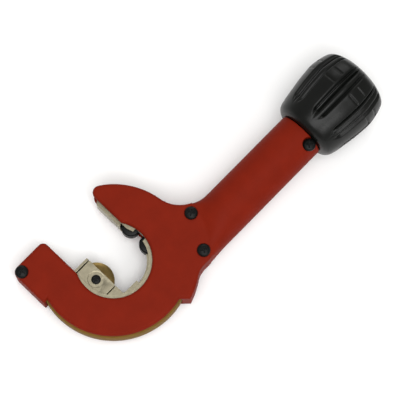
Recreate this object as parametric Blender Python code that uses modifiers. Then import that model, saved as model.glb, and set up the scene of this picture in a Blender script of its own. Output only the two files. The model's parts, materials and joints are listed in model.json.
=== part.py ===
"""Ratcheting pipe cutter with a C-shaped head on a hollow handle.

Every length is in millimetres and every angle in degrees; the helpers turn them into metres. The design frame
has its origin on the rotor's axis, half way through the head: +X runs along the handle towards the knob, +Y
points out of the mouth and +Z out of the front face. The whole tool is then moved so that the middle of its
bounding box is the world's origin.
"""

import math

import bmesh
import bpy
from mathutils import Matrix, Vector

MM = 0.001
GAP = 0.3  # between pieces that touch

# Head
HALF_THICKNESS = 8.5
PLATE = 2.5
CLAW_R = 38.4
LOWER_R = 37.9
OPENING_R = 19.1
JAW_INNER_X = -17.3
JAW_OUTER_X = -39.2
JAW_TOP_Y = 31.7
JAW_CORNER_R = 3.0
JAW_SHOULDER_Y = 9.5
CLAW_INNER_X = 16.0
CLAW_TIP_R = 3.6
NECK_R = 42.7
NECK_START = -73
NECK_FILLET_R = 17.0
NECK_FOOT_R = 12.0
PLATEAU_R = 48.2
RAMP_RUN = 9.0

# Handle
HANDLE_R = 12.3
HANDLE_Y = -21.6
HANDLE_END_X = 112.0
HANDLE_ROOT_X = 30.0
CAVITY_R = 9.8
CAVITY_X = (54.0, 106.0)
SPIGOT_R = 9.5
SPIGOT_END_X = 116.5
BUSHING_R = 6.5

# Fasteners: (x, y) of each housing screw
HEAD_SCREWS = [(-35.8, 28.0), (43.3, -11.3), (34.2, -28.8)]
HANDLE_SCREW = (109.0, -29.4)
SCREW_HEAD_R = 3.25
SCREW_HEAD_H = 1.9
SCREW_SHANK_R = 1.75
SCREW_SEAT_Z = 8.2
SCREW_TIP_Z = -6.0
INSERT_R = 2.5

# Rotor
RIM_R = 38.7
RIM_INNER_R = 34.5
ROTOR_HALF = 5.5
RATCHET_TOP_Z = -3.9
TEETH = 60
TOOTH_TIP_R = 37.4
TOOTH_ROOT_R = 36.4
ROTOR_BODY_R = 34.2
ROTOR_BORE_R = 16.4
COVER_BORE_R = 17.3
COVER_LOW_Z = 3.7
ROTOR_MOUTH = [(-17.3, 0.0), (-17.3, 25.5), (-24.0, 34.5), (-24.0, 40.0),
               (30.0, 40.0), (24.5, 34.5), (14.4, 26.2), (14.4, 0.0)]
KEY_R = 1.2
KEY_ANGLES = [-150, -90, -30, 30]
COVER_SCREW_R = 26.0
COVER_SCREW_ANGLES = [-115, -35, 42, 138]

# Rollers, carriage and cutting wheel
ROLLER = (18.3, 6.2)
ROLLER_R = 4.8
ROLLER_EDGE = 0.5
ROLLER_NOTCH = ((10, -3.4, -10), (20.5, 3.4, 10))
ROLLER_HALF = 3.2
PIN_R = 1.0
CARRIAGE_X = (-23.6, -8.0)
CARRIAGE_HALF_Y = 8.9
CARRIAGE_HALF_Z = 3.3
SLOT_HALF_Y = 9.5
SLOT_Z = (-3.6, 3.4)
GUIDE_TOP_Y = 10.8
WHEEL_X = -12.5
WHEEL_R = 9.1
WHEEL_HUB_R = 4.0
WHEEL_HALF = 1.4
FORK_HALF_Z = 1.7
AXLE_R = 1.5
CARRIAGE_SPRING_Y = 7.0
CARRIAGE_SPRING_R = 1.25
CARRIAGE_SPRING_START_X = -33.2
CARRIAGE_SPRING_LENGTH = 12.9

# Direction selector
PAWL_X = 42.5
PAWL_SWING = 5.4  # either side of its middle position
PAWL_PIN_R = 1.5
PAWL_Z = (-5.5, -1.2)
NOSE_TOP_Z = -4.0
TAIL_LENGTH = 4.3
KNOB_SWING = 40.0  # either side of its middle position
PLUNGER_OFFSET = 2.9
PLUNGER_R = 1.3
PLUNGER_X = (47.1, 55.0)
SPINDLE_HEAD_R = 5.6
SPINDLE_HEAD_X = (49.0, 66.0)
SPINDLE_R = 4.0
SPINDLE_END_X = 139.0
PLUNGER_BORE_END_X = 64.0
CLIP_X = 104.0
CLIP_R = (6.4, 3.5)
CLIP_HALF = 0.4
CLIP_GROOVE_R = 3.2
CROSS_PIN_X = 127.0
CROSS_PIN_R = 1.2
END_SCREW_R = 2.0

# Knob: (radius, x) down the outside from the rim to the end face
KNOB_X = 112.3
KNOB_R = 21.1
KNOB_PROFILE = [(13.5, 112.3), (15.2, 112.9), (17.2, 115.0), (18.6, 120.0), (19.5, 125.0), (20.3, 130.0),
                (20.8, 135.0), (KNOB_R, 140.0), (20.4, 145.0), (19.0, 150.0), (16.8, 152.5), (13.2, 154.2)]
KNOB_END_X = 156.0
KNOB_HUB_R = 8.0
CAP_R = 9.0
FLUTES = 8
FLUTE_PHASE = 41.0

# Bounding box of the finished tool, whose middle is the world's origin
BOX_X = (JAW_OUTER_X, KNOB_END_X)
CLAW_TIP_X = CLAW_INNER_X + CLAW_TIP_R
CLAW_TIP_Y = math.sqrt((CLAW_R - CLAW_TIP_R) ** 2 - CLAW_TIP_X ** 2)
BOX_Y = (HANDLE_Y - KNOB_R, CLAW_TIP_Y + CLAW_TIP_R)


# ---------------------------------------------------------------- scene

def clear_scene():
    for obj in list(bpy.data.objects):
        bpy.data.objects.remove(obj)


def new_collection(name):
    collection = bpy.data.collections.new(name)
    bpy.context.scene.collection.children.link(collection)
    return collection


clear_scene()
TOOL = new_collection("pipe_cutter")
CUTTERS = new_collection("cutters")
CUTTERS.hide_render = True

FRAME = bpy.data.objects.new("tool_frame", None)
FRAME.location = (-sum(BOX_X) / 2 * MM, -sum(BOX_Y) / 2 * MM, 0.0)
TOOL.objects.link(FRAME)


def material(name, colour, roughness, metallic):
    made = bpy.data.materials.new(name)
    made.use_nodes = True
    shader = made.node_tree.nodes["Principled BSDF"]
    shader.inputs["Base Color"].default_value = (*colour, 1.0)
    shader.inputs["Roughness"].default_value = roughness
    shader.inputs["Metallic"].default_value = metallic
    made.diffuse_color = (*colour, 1.0)
    return made


RED_PAINT = material("red_paint", (0.28, 0.022, 0.010), 0.55, 0.0)
GOLD = material("gold_plating", (0.42, 0.25, 0.05), 0.35, 1.0)
NICKEL = material("nickel_plating", (0.62, 0.58, 0.49), 0.32, 1.0)
TOOL_STEEL = material("tool_steel", (0.38, 0.38, 0.38), 0.35, 1.0)
BRONZE = material("bronze_coating", (0.45, 0.29, 0.12), 0.35, 1.0)
BLACK_OXIDE = material("black_oxide", (0.012, 0.013, 0.013), 0.4, 0.6)
BRASS = material("brass", (0.60, 0.42, 0.16), 0.35, 1.0)
BLACK_PLASTIC = material("black_plastic", (0.008, 0.009, 0.009), 0.33, 0.0)
SPRING_STEEL = material("spring_steel", (0.50, 0.50, 0.50), 0.3, 1.0)
ACETAL = material("acetal", (0.75, 0.73, 0.66), 0.5, 0.0)


# ---------------------------------------------------------------- outlines

def at_angle(radius, degrees, centre=(0.0, 0.0)):
    turn = math.radians(degrees)
    return centre[0] + radius * math.cos(turn), centre[1] + radius * math.sin(turn)


def arc(radius, start, end, steps, centre=(0.0, 0.0)):
    """Points from one angle to another, both ends included."""
    return [at_angle(radius, start + (end - start) * step / steps, centre) for step in range(steps + 1)]


def ring(radius, steps=32, centre=(0.0, 0.0)):
    return arc(radius, 0, 360 - 360 / steps, steps - 1, centre)


def head_outline():
    """Outer edge of a housing half, anticlockwise from the foot of the left jaw."""
    tip = (CLAW_TIP_X, CLAW_TIP_Y)
    fillet_y = HANDLE_Y + HANDLE_R + NECK_FILLET_R
    fillet = (math.sqrt((CLAW_R + NECK_FILLET_R) ** 2 - fillet_y ** 2), fillet_y)
    fillet_angle = math.degrees(math.atan2(fillet[1], fillet[0]))
    tip_angle = math.degrees(math.atan2(tip[1], tip[0]))
    corner = (JAW_INNER_X - JAW_CORNER_R, JAW_TOP_Y - JAW_CORNER_R)
    outer = (HEAD_SCREWS[0][0] + 0.2, HEAD_SCREWS[0][1] + 0.1)
    outer_r = outer[0] - JAW_OUTER_X
    shoulder = math.degrees(math.asin(JAW_SHOULDER_Y / LOWER_R))
    lower_y = HANDLE_Y - HANDLE_R
    foot_y = lower_y - NECK_FOOT_R
    foot = (math.sqrt((NECK_R + NECK_FOOT_R) ** 2 - foot_y ** 2), foot_y)
    neck_end = math.degrees(math.atan2(foot[1], foot[0]))
    jaw_foot = math.degrees(math.acos(JAW_INNER_X / OPENING_R))
    claw_foot = math.degrees(math.acos(CLAW_INNER_X / OPENING_R))
    plateau_low = math.degrees(math.asin(lower_y / PLATEAU_R))
    plateau_high = math.degrees(math.asin((HANDLE_Y + HANDLE_R) / PLATEAU_R))
    points = arc(JAW_CORNER_R, 0, 90, 4, corner)
    points += arc(outer_r, 90, 180, 5, outer)
    points += [(JAW_OUTER_X, JAW_SHOULDER_Y)]
    points += arc(LOWER_R, 180 - shoulder, 283, 22)
    points += arc(NECK_R, NECK_START, neck_end, 3)
    points += arc(NECK_FOOT_R, 180 + neck_end, 90, 4, foot)[1:]
    points += arc(PLATEAU_R, plateau_low, plateau_high, 5)
    points += arc(NECK_FILLET_R, 270, 180 + fillet_angle, 7, fillet)
    points += arc(CLAW_R, fillet_angle + 3, tip_angle, 10)
    points += arc(CLAW_TIP_R, tip_angle + 20, 180, 6, tip)
    points += arc(OPENING_R, claw_foot, jaw_foot - 360, 36)
    return points


def ratchet_outline():
    """Toothed edge with a tooth tip on the pawl's centre line."""
    pitch = 360 / TEETH
    points = []
    for tooth in range(TEETH):
        middle = pawl_line_angle() + tooth * pitch
        points.append(at_angle(TOOTH_TIP_R, middle - 0.1 * pitch))
        points.append(at_angle(TOOTH_TIP_R, middle + 0.1 * pitch))
        points.append(at_angle(TOOTH_ROOT_R, middle + 0.36 * pitch))
        points.append(at_angle(TOOTH_ROOT_R, middle + 0.64 * pitch))
    return points


# ---------------------------------------------------------------- solids

def link(name, mesh, collection=None):
    obj = bpy.data.objects.new(name, mesh)
    (collection or CUTTERS).objects.link(obj)
    obj.parent = FRAME
    if collection is None:
        obj.hide_render = True
        obj.display_type = "WIRE"
    return obj


def evaluated_mesh(obj):
    """The object's shape in the tool frame, with its modifiers applied; the object is removed."""
    bpy.context.view_layer.update()
    graph = bpy.context.evaluated_depsgraph_get()
    mesh = bpy.data.meshes.new_from_object(obj.evaluated_get(graph))
    mesh.transform(FRAME.matrix_world.inverted() @ obj.matrix_world)
    bpy.data.objects.remove(obj)
    shape = bmesh.new()
    shape.from_mesh(mesh)
    bmesh.ops.remove_doubles(shape, verts=shape.verts, dist=1e-6)
    shape.to_mesh(mesh)
    shape.free()
    return mesh


def prism(name, loops, low, high):
    """Flat outline, with any further loops as holes, between two heights."""
    curve = bpy.data.curves.new(name, "CURVE")
    curve.dimensions = "2D"
    curve.fill_mode = "BOTH"
    curve.extrude = (high - low) / 2 * MM
    for loop in loops:
        spline = curve.splines.new("POLY")
        spline.points.add(len(loop) - 1)
        for point, (x, y) in zip(spline.points, loop):
            point.co = (x * MM, y * MM, 0.0, 1.0)
        spline.use_cyclic_u = True
    drawn = link(name + "_outline", curve)
    drawn.location.z = (high + low) / 2 * MM
    return link(name, evaluated_mesh(drawn))


AXES = {
    "x": Matrix.Rotation(math.radians(90), 4, "Y"),
    "y": Matrix.Rotation(math.radians(-90), 4, "X"),
    "z": Matrix.Identity(4),
}


def shift(x, y, z):
    return Matrix.Translation(Vector((x, y, z)) * MM)


def turned(name, profile, axis="z", at=(0.0, 0.0, 0.0), steps=32, closed=False):
    """Profile of (radius, height) from the top down its outer side, turned about an axis through a point."""
    mesh = bpy.data.meshes.new(name)
    shape = bmesh.new()
    points = [shape.verts.new((radius * MM, 0.0, height * MM)) for radius, height in profile]
    for first, second in zip(points, points[1:]):
        shape.edges.new((first, second))
    if closed:
        shape.edges.new((points[-1], points[0]))
    shape.to_mesh(mesh)
    shape.free()
    drawn = link(name + "_profile", mesh)
    screw = drawn.modifiers.new("turn", "SCREW")
    screw.steps = steps
    screw.render_steps = steps
    screw.use_merge_vertices = True
    screw.merge_threshold = 1e-6
    made = link(name, evaluated_mesh(drawn))
    made.data.transform(shift(*at) @ AXES[axis])
    return made


def tube(name, outer_r, inner_r, low, high, axis="z", at=(0.0, 0.0, 0.0), steps=32):
    profile = [(inner_r, high), (outer_r, high), (outer_r, low), (inner_r, low)]
    return turned(name, profile, axis, at, steps, closed=True)


def bar(name, radius, low, high, axis="z", at=(0.0, 0.0, 0.0), steps=32):
    mesh = bpy.data.meshes.new(name)
    shape = bmesh.new()
    bmesh.ops.create_cone(shape, cap_ends=True, segments=steps, radius1=radius * MM, radius2=radius * MM,
                          depth=(high - low) * MM)
    shape.to_mesh(mesh)
    shape.free()
    mesh.transform(shift(*at) @ AXES[axis] @ shift(0, 0, (high + low) / 2))
    return link(name, mesh)


def box(name, low, high):
    mesh = bpy.data.meshes.new(name)
    shape = bmesh.new()
    bmesh.ops.create_cube(shape, size=1.0)
    shape.to_mesh(mesh)
    shape.free()
    size = Vector(high) - Vector(low)
    mesh.transform(shift(*(Vector(high) + Vector(low)) / 2) @ Matrix.Diagonal((*(size * MM), 1.0)))
    return link(name, mesh)


def boolean(target, operation, others):
    for other in others:
        step = target.modifiers.new(other.name, "BOOLEAN")
        step.operation = operation
        step.object = other
        step.solver = "EXACT"
    return target


def cut(target, *cutters):
    return boolean(target, "DIFFERENCE", cutters)


def join(target, *pieces):
    return boolean(target, "UNION", pieces)


def solid(name, obj):
    """A helper object with its cuts applied, as a new helper."""
    return link(name, evaluated_mesh(obj))


def group(name, mesh, places):
    """Copies of one mesh at several places, as one helper of separate bodies."""
    shape = bmesh.new()
    for place in places:
        copy = mesh.copy()
        copy.transform(place)
        shape.from_mesh(copy)
        bpy.data.meshes.remove(copy)
    made = bpy.data.meshes.new(name)
    shape.to_mesh(made)
    shape.free()
    return link(name, made)


def coil(name, radius, wire_r, turns, start, length, per_turn=8):
    """Helical spring along +X from a start point."""
    curve = bpy.data.curves.new(name, "CURVE")
    curve.dimensions = "3D"
    curve.bevel_depth = wire_r * MM
    curve.bevel_resolution = 2
    curve.use_fill_caps = True
    spline = curve.splines.new("POLY")
    count = turns * per_turn + 1
    spline.points.add(count - 1)
    for step, point in enumerate(spline.points):
        turn = math.tau * step / per_turn
        x = start[0] + length * step / (count - 1)
        y = start[1] + radius * math.cos(turn)
        z = start[2] + radius * math.sin(turn)
        point.co = (x * MM, y * MM, z * MM, 1.0)
    return link(name, evaluated_mesh(link(name + "_wire", curve)))


def finish(name, obj, surface, pivot=(0.0, 0.0, 0.0), smooth=30):
    """Turns a helper into a part of the tool, with its origin on its own axis."""
    for step in obj.modifiers:
        step.name = step.name[:50]
    obj.name = name
    CUTTERS.objects.unlink(obj)
    TOOL.objects.link(obj)
    obj.hide_render = False
    obj.display_type = "TEXTURED"
    obj.data.materials.clear()
    obj.data.materials.append(surface)
    obj.data.transform(shift(*(-Vector(pivot))))
    obj.location = Vector(pivot) * MM
    obj.data.shade_smooth()
    obj.data.set_sharp_from_angle(angle=math.radians(smooth))
    return obj


def finish_copies(name, mesh, surface, places):
    """Numbered parts that share one mesh, each moved to its place."""
    mesh.materials.clear()
    mesh.materials.append(surface)
    mesh.shade_smooth()
    mesh.set_sharp_from_angle(angle=math.radians(30))
    for number, place in enumerate(places, 1):
        copy = link(f"{name}_{number}", mesh, TOOL)
        copy.location = Vector(place) * MM


# ---------------------------------------------------------------- housing

def pawl_line_angle():
    """Direction from the rotor's axis to the pawl's pin."""
    return math.degrees(math.atan2(HANDLE_Y, PAWL_X))


def from_pawl(along, across):
    """Point at a distance from the pawl's pin towards the rotor's axis, and across that line."""
    turn = math.radians(pawl_line_angle())
    x = PAWL_X - along * math.cos(turn) - across * math.sin(turn)
    y = HANDLE_Y - along * math.sin(turn) + across * math.cos(turn)
    return x, y


def pawl_pocket():
    edge = [(-5.0, 6.2), (5.0, 6.2), (7.5, 7.5), (7.5, 9.0), (12.0, 9.0)]
    points = edge + [(along, -across) for along, across in reversed(edge)]
    room = prism("pocket", [[from_pawl(*point) for point in points]], PLATE - HALF_THICKNESS, HALF_THICKNESS - PLATE)
    run = bar("selector_bore", SPINDLE_HEAD_R + 0.6, PAWL_X, CAVITY_X[0] + 1, "x", (0, HANDLE_Y, 0))
    return room, run


def handle_bores():
    at = (0, HANDLE_Y, 0)
    cavity = bar("handle_cavity", CAVITY_R, *CAVITY_X, "x", at)
    passage = bar("spindle_passage", SPINDLE_R + 2 * GAP, CAVITY_X[1] - 1, SPIGOT_END_X, "x", at)
    seat = bar("rear_bushing_seat", BUSHING_R + GAP, HANDLE_END_X + 0.2, SPIGOT_END_X + 1, "x", at)
    return cavity, passage, seat


def ramp(side):
    """What is cut away over the flat of the head, up the slope to the round handle."""
    top = HALF_THICKNESS + RAMP_RUN / 2
    profile = [(0.0, top), (PLATEAU_R + RAMP_RUN, top), (PLATEAU_R, HALF_THICKNESS), (0.0, HALF_THICKNESS)]
    cone = turned("ramp", profile, steps=64)
    if side < 0:
        cone.data.transform(Matrix.Rotation(math.pi, 4, "X"))
    return cone


def housing_half(name, side):
    """One half shell: side is 1 for the front and -1 for the back."""
    near, far = sorted((side * GAP / 2, side * HALF_THICKNESS))
    plate = prism(name + "_plate", [head_outline()], near, far)
    grip = bar(name + "_grip", HANDLE_R, HANDLE_ROOT_X, HANDLE_END_X, "x", (0, HANDLE_Y, 0), 48)
    join(grip, bar(name + "_spigot", SPIGOT_R, HANDLE_END_X - 1, SPIGOT_END_X, "x", (0, HANDLE_Y, 0)))
    keep = sorted((side * GAP / 2, -side * 20))
    cut(grip, ramp(side), box(name + "_other_half", (0, -60, keep[0]), (130, 20, keep[1])))
    room = HALF_THICKNESS - PLATE
    rotor_room = bar(name + "_rotor_room", RIM_R + GAP, -room, room, steps=96)
    shell = join(plate, solid(name + "_grip_half", grip))
    cut(shell, rotor_room, *pawl_pocket(), *handle_bores())
    places = HEAD_SCREWS + [HANDLE_SCREW]
    if side > 0:
        seats = bar("seat", SCREW_HEAD_R + GAP, SCREW_SEAT_Z - GAP, 14, steps=24).data
        holes = bar("hole", SCREW_SHANK_R + GAP, -1, 14, steps=16).data
    else:
        seats = bar("pocket", INSERT_R + GAP, -7.0, 1, steps=16).data
        holes = bar("relief", SCREW_SHANK_R + GAP, -7.5, 1, steps=16).data
    spots = [shift(x, y, 0) for x, y in places]
    cut(shell, group(name + "_seats", seats, spots), group(name + "_holes", holes, spots))
    cut(shell, bar(name + "_pin_hole", PAWL_PIN_R + GAP, -7.4, 7.4, at=(PAWL_X, HANDLE_Y, 0), steps=16))
    return shell


def pan_head_screw(name, head_r, head_h, shank_r, length):
    """Cross-recessed pan-head screw with the underside of its head at height 0."""
    profile = [(0.0, head_h), (0.45 * head_r, 0.97 * head_h), (0.8 * head_r, 0.75 * head_h), (head_r, 0.3 * head_h),
               (head_r, 0.0), (shank_r, 0.0), (shank_r, 0.6 - length), (0.7 * shank_r, -length), (0.0, -length)]
    screw = turned(name, profile, steps=20)
    reach = 0.55 * head_r
    width = 0.16 * head_r
    floor = 0.35 * head_h
    cut(screw, box(name + "_slot", (-reach, -width, floor), (reach, width, head_h + 1)),
        box(name + "_cross", (-width, -reach, floor), (width, reach, head_h + 1)))
    return solid(name + "_whole", screw).data


def make_housing():
    finish("front_shell", housing_half("front", 1), RED_PAINT)
    finish("back_shell", housing_half("back", -1), RED_PAINT)
    screw = pan_head_screw("screw", SCREW_HEAD_R, SCREW_HEAD_H, SCREW_SHANK_R, SCREW_SEAT_Z - SCREW_TIP_Z)
    places = HEAD_SCREWS + [HANDLE_SCREW]
    finish_copies("housing_screw", screw, BLACK_OXIDE, [(x, y, SCREW_SEAT_Z) for x, y in places])
    insert = tube("insert", INSERT_R, SCREW_SHANK_R + GAP, -6.7, -0.5, steps=16).data
    finish_copies("threaded_insert", insert, BRASS, [(x, y, 0) for x, y in places])
    axis = (PAWL_X, HANDLE_Y, 0)
    finish("pawl_pin", bar("pin", PAWL_PIN_R, -7.1, 7.1, at=axis, steps=16), TOOL_STEEL, axis)
    centre = (0, HANDLE_Y, 0)
    front = tube("front", CAVITY_R - GAP, SPINDLE_HEAD_R + GAP, 55.5, 61.5, "x", centre)
    finish("front_bushing", front, ACETAL, centre)
    rear = tube("rear", BUSHING_R, SPINDLE_R + GAP, HANDLE_END_X + 0.5, SPIGOT_END_X - 0.3, "x", centre)
    finish("rear_bushing", rear, ACETAL, centre)
    washer = tube("washer", 8.2, SPINDLE_R + GAP, 105.0, 105.7, "x", centre)
    finish("thrust_washer", washer, TOOL_STEEL, centre)


# ---------------------------------------------------------------- rotor

def mouth_cutter(name):
    return prism(name, [ROTOR_MOUTH], -10, 10)


def key_holes(name):
    hole = bar("key_hole", KEY_R + GAP, -10, 10, steps=12).data
    return group(name, hole, [shift(*at_angle(RIM_INNER_R - GAP / 2, angle), 0) for angle in KEY_ANGLES])


def roller_places():
    return [(ROLLER[0], ROLLER[1]), (ROLLER[0], -ROLLER[1])]


def rotor_head():
    """Casting that holds the carriage and the rollers, open to the front under the cover."""
    body = prism("casting", [ring(ROTOR_BODY_R, 64)], -ROTOR_HALF, COVER_LOW_Z - GAP)
    bore = prism("casting_bore", [ring(ROTOR_BORE_R, 48)], -10, 10)
    guides = box("guides", (-20, -18, -11), (-8, GUIDE_TOP_Y, 11))
    cut(bore, guides, box("ledge", (-8.5, -18, -11), (1, -14.8, 11)))
    mouth = prism("casting_mouth", [ROTOR_MOUTH], -10, 10)
    cut(mouth, box("guide_keep", (-20, -11, -11), (-8, GUIDE_TOP_Y, 11)))
    notch = box("roller_notch", *ROLLER_NOTCH)
    slot = box("carriage_slot", (-36, -SLOT_HALF_Y, SLOT_Z[0]), (-7, SLOT_HALF_Y, 10))
    pockets = bar("pocket", ROLLER_R + 0.5, SLOT_Z[0], 10, steps=24).data
    pins = bar("pin_hole", PIN_R + GAP, -ROTOR_HALF + 0.6, 10, steps=12).data
    places = [shift(x, y, 0) for x, y in roller_places()]
    screws = bar("screw_hole", 1.1, -2.5, 10, steps=12).data
    cut(body, solid("bore_cut", bore), solid("mouth_cut", mouth), notch, slot, group("pockets", pockets, places),
        group("pin_holes", pins, places), key_holes("casting_keys"),
        group("screw_holes", screws, [shift(*at_angle(COVER_SCREW_R, angle), 0) for angle in COVER_SCREW_ANGLES]))
    return body


def rotor_cover():
    body = prism("plate", [ring(ROTOR_BODY_R, 64)], COVER_LOW_Z, ROTOR_HALF)
    bore = bar("cover_bore", COVER_BORE_R, -10, 10, steps=48)
    mouth = prism("cover_mouth", [[(x + 1.6 if x > 0 else x, y) for x, y in ROTOR_MOUTH]], -10, 10)
    notch = box("cover_notch", (10, -3.4, -10), (19, 3.4, 10))
    pins = bar("cover_pin_hole", PIN_R + GAP, 0, 4.9, steps=12).data
    heads = bar("screw_seat", 2.2, 4.4, 10, steps=12).data
    shanks = bar("screw_way", 1.1, 0, 10, steps=12).data
    spots = [shift(*at_angle(COVER_SCREW_R, angle), 0) for angle in COVER_SCREW_ANGLES]
    cut(body, bore, mouth, notch, group("cover_pins", pins, [shift(x, y, 0) for x, y in roller_places()]),
        key_holes("cover_keys"), group("cover_seats", heads, spots), group("cover_ways", shanks, spots))
    return body


def make_rotor():
    rim = prism("rim", [ring(RIM_R, 72), ring(RIM_INNER_R, 72)], RATCHET_TOP_Z + GAP, ROTOR_HALF)
    finish("rotor_rim", cut(rim, mouth_cutter("rim_mouth"), key_holes("rim_keys")), GOLD)
    teeth = prism("teeth", [ratchet_outline(), ring(RIM_INNER_R, 72)], -ROTOR_HALF, RATCHET_TOP_Z)
    finish("ratchet_ring", cut(teeth, mouth_cutter("teeth_mouth"), key_holes("teeth_keys")), TOOL_STEEL)
    finish("rotor_head", rotor_head(), NICKEL)
    finish("rotor_cover", rotor_cover(), NICKEL)
    key = bar("key", KEY_R, -5.4, 5.4, steps=12).data
    places = [(*at_angle(RIM_INNER_R - GAP / 2, angle), 0) for angle in KEY_ANGLES]
    finish_copies("rotor_key", key, TOOL_STEEL, places)
    profile = [(0.0, 5.3), (1.9, 5.3), (1.9, 4.7), (0.8, 4.7), (0.8, -2.2), (0.0, -2.2)]
    screw = turned("small_screw", profile, steps=12).data
    places = [(*at_angle(COVER_SCREW_R, angle), 0) for angle in COVER_SCREW_ANGLES]
    finish_copies("cover_screw", screw, BLACK_OXIDE, places)
    for label, (x, y) in zip(("upper", "lower"), roller_places()):
        axis = (x, y, 0)
        pin = bar("roller_pin", PIN_R, -4.6, 4.6, at=axis, steps=12)
        finish(label + "_roller_pin", pin, TOOL_STEEL, axis)
        rim = [(ROLLER_R - ROLLER_EDGE, ROLLER_HALF), (ROLLER_R, ROLLER_HALF - ROLLER_EDGE),
               (ROLLER_R, ROLLER_EDGE - ROLLER_HALF), (ROLLER_R - ROLLER_EDGE, -ROLLER_HALF)]
        profile = [(PIN_R + GAP, ROLLER_HALF)] + rim + [(PIN_R + GAP, -ROLLER_HALF)]
        roller = turned("roller", profile, at=axis, steps=24, closed=True)
        finish(label + "_roller", roller, BLACK_OXIDE, axis)


# ---------------------------------------------------------------- carriage and wheel

def make_carriage():
    low, high = CARRIAGE_X
    block = box("block", (low, -CARRIAGE_HALF_Y, -CARRIAGE_HALF_Z), (high, CARRIAGE_HALF_Y, CARRIAGE_HALF_Z))
    fork = bar("fork", WHEEL_R + 0.6, -FORK_HALF_Z, FORK_HALF_Z, at=(WHEEL_X, 0, 0), steps=32)
    throat = box("throat", (WHEEL_X, -WHEEL_R - 0.6, -FORK_HALF_Z), (0, WHEEL_R + 0.6, FORK_HALF_Z))
    recess = bar("recess", WHEEL_HUB_R, 2.5, 5, at=(WHEEL_X, 0, 0), steps=24)
    nut_room = bar("nut_room", 3.2, -5, -2.5, at=(WHEEL_X, 0, 0), steps=24)
    axle_hole = bar("axle_hole", AXLE_R + GAP, -5, 5, at=(WHEEL_X, 0, 0), steps=16)
    bores = [bar("spring_bore", CARRIAGE_SPRING_R + 0.55, low - 1, -20.0, "x", (0, y, 0), 16)
             for y in (CARRIAGE_SPRING_Y, -CARRIAGE_SPRING_Y)]
    cut(block, fork, throat, recess, nut_room, axle_hole, *bores)
    axis = (WHEEL_X, 0, 0)
    finish("wheel_carriage", block, NICKEL, axis)
    screw = pan_head_screw("axle_screw", 2.4, 0.75, AXLE_R, 5.7)
    finish("wheel_axle_screw", group("axle", screw, [shift(WHEEL_X, 0, 2.55)]), BLACK_OXIDE, axis)
    nut = prism("nut", [ring(2.8, 6), ring(AXLE_R + GAP, 16)], -3.25, -2.6)
    nut.data.transform(shift(*axis))
    finish("axle_nut", nut, TOOL_STEEL, axis)
    profile = [(AXLE_R + GAP, WHEEL_HALF), (WHEEL_HUB_R, WHEEL_HALF), (WHEEL_HUB_R, 0.9), (WHEEL_R - 1.2, 0.55),
               (WHEEL_R, 0.06), (WHEEL_R, -0.06), (WHEEL_R - 1.2, -0.55), (WHEEL_HUB_R, -0.9),
               (WHEEL_HUB_R, -WHEEL_HALF), (AXLE_R + GAP, -WHEEL_HALF)]
    wheel = turned("wheel", profile, at=axis, steps=40, closed=True)
    finish("cutting_wheel", wheel, BRONZE, axis)
    for label, y in (("upper", CARRIAGE_SPRING_Y), ("lower", -CARRIAGE_SPRING_Y)):
        start = (CARRIAGE_SPRING_START_X, y, 0)
        spring = coil(label, CARRIAGE_SPRING_R, 0.25, 6, start, CARRIAGE_SPRING_LENGTH)
        finish(label + "_carriage_spring", spring, SPRING_STEEL, start)


# ---------------------------------------------------------------- direction selector

def pawl():
    """Rocker with two noses, drawn in its middle position and turned to engage the one on its upper side."""
    low, high = PAWL_Z
    centre = (PAWL_X, HANDLE_Y)
    tail = [(PAWL_X, HANDLE_Y - 3), (PAWL_X + TAIL_LENGTH, HANDLE_Y - 3),
            (PAWL_X + TAIL_LENGTH, HANDLE_Y + 3), (PAWL_X, HANDLE_Y + 3)]
    arms = [from_pawl(*point) for point in [(0, -3.4), (5.5, -4.6), (8.4, -4.4), (8.4, 4.4), (5.5, 4.6), (0, 3.4)]]
    body = prism("pawl_hub", [ring(4.0, 24, centre)], low, high)
    join(body, prism("pawl_tail", [tail], low, high), prism("pawl_arms", [arms], low, high))
    for side in (1, -1):
        nose = [(5.0, 0.0), (5.0, 3.8), (7.6, 5.6), (9.4, 7.6), (9.9, 7.6), (10.75, 7.1), (10.75, 6.6), (9.6, 5.4),
                (8.6, 2.0)]
        outline = [from_pawl(along, side * across) for along, across in nose]
        join(body, prism("pawl_nose", [outline], low, NOSE_TOP_Z))
    cut(body, bar("pawl_bore", PAWL_PIN_R + GAP, -10, 10, at=(*centre, 0), steps=16))
    return body


def make_pawl():
    axis = (PAWL_X, HANDLE_Y, 0)
    whole = solid("rocker", pawl())
    whole.data.transform(shift(*axis) @ Matrix.Rotation(math.radians(PAWL_SWING), 4, "Z") @ shift(*(-Vector(axis))))
    finish("rocker_pawl", whole, TOOL_STEEL, axis)


def plunger_centre():
    """The plunger's y and z, off the handle's axis, with the knob turned to the side that drives forwards."""
    turn = math.radians(KNOB_SWING)
    return HANDLE_Y + PLUNGER_OFFSET * math.sin(turn), -PLUNGER_OFFSET * math.cos(turn)


def cross_hole(name):
    return bar(name, CROSS_PIN_R + GAP, -10, 10, "z", (CROSS_PIN_X, HANDLE_Y, 0), 12)


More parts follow.
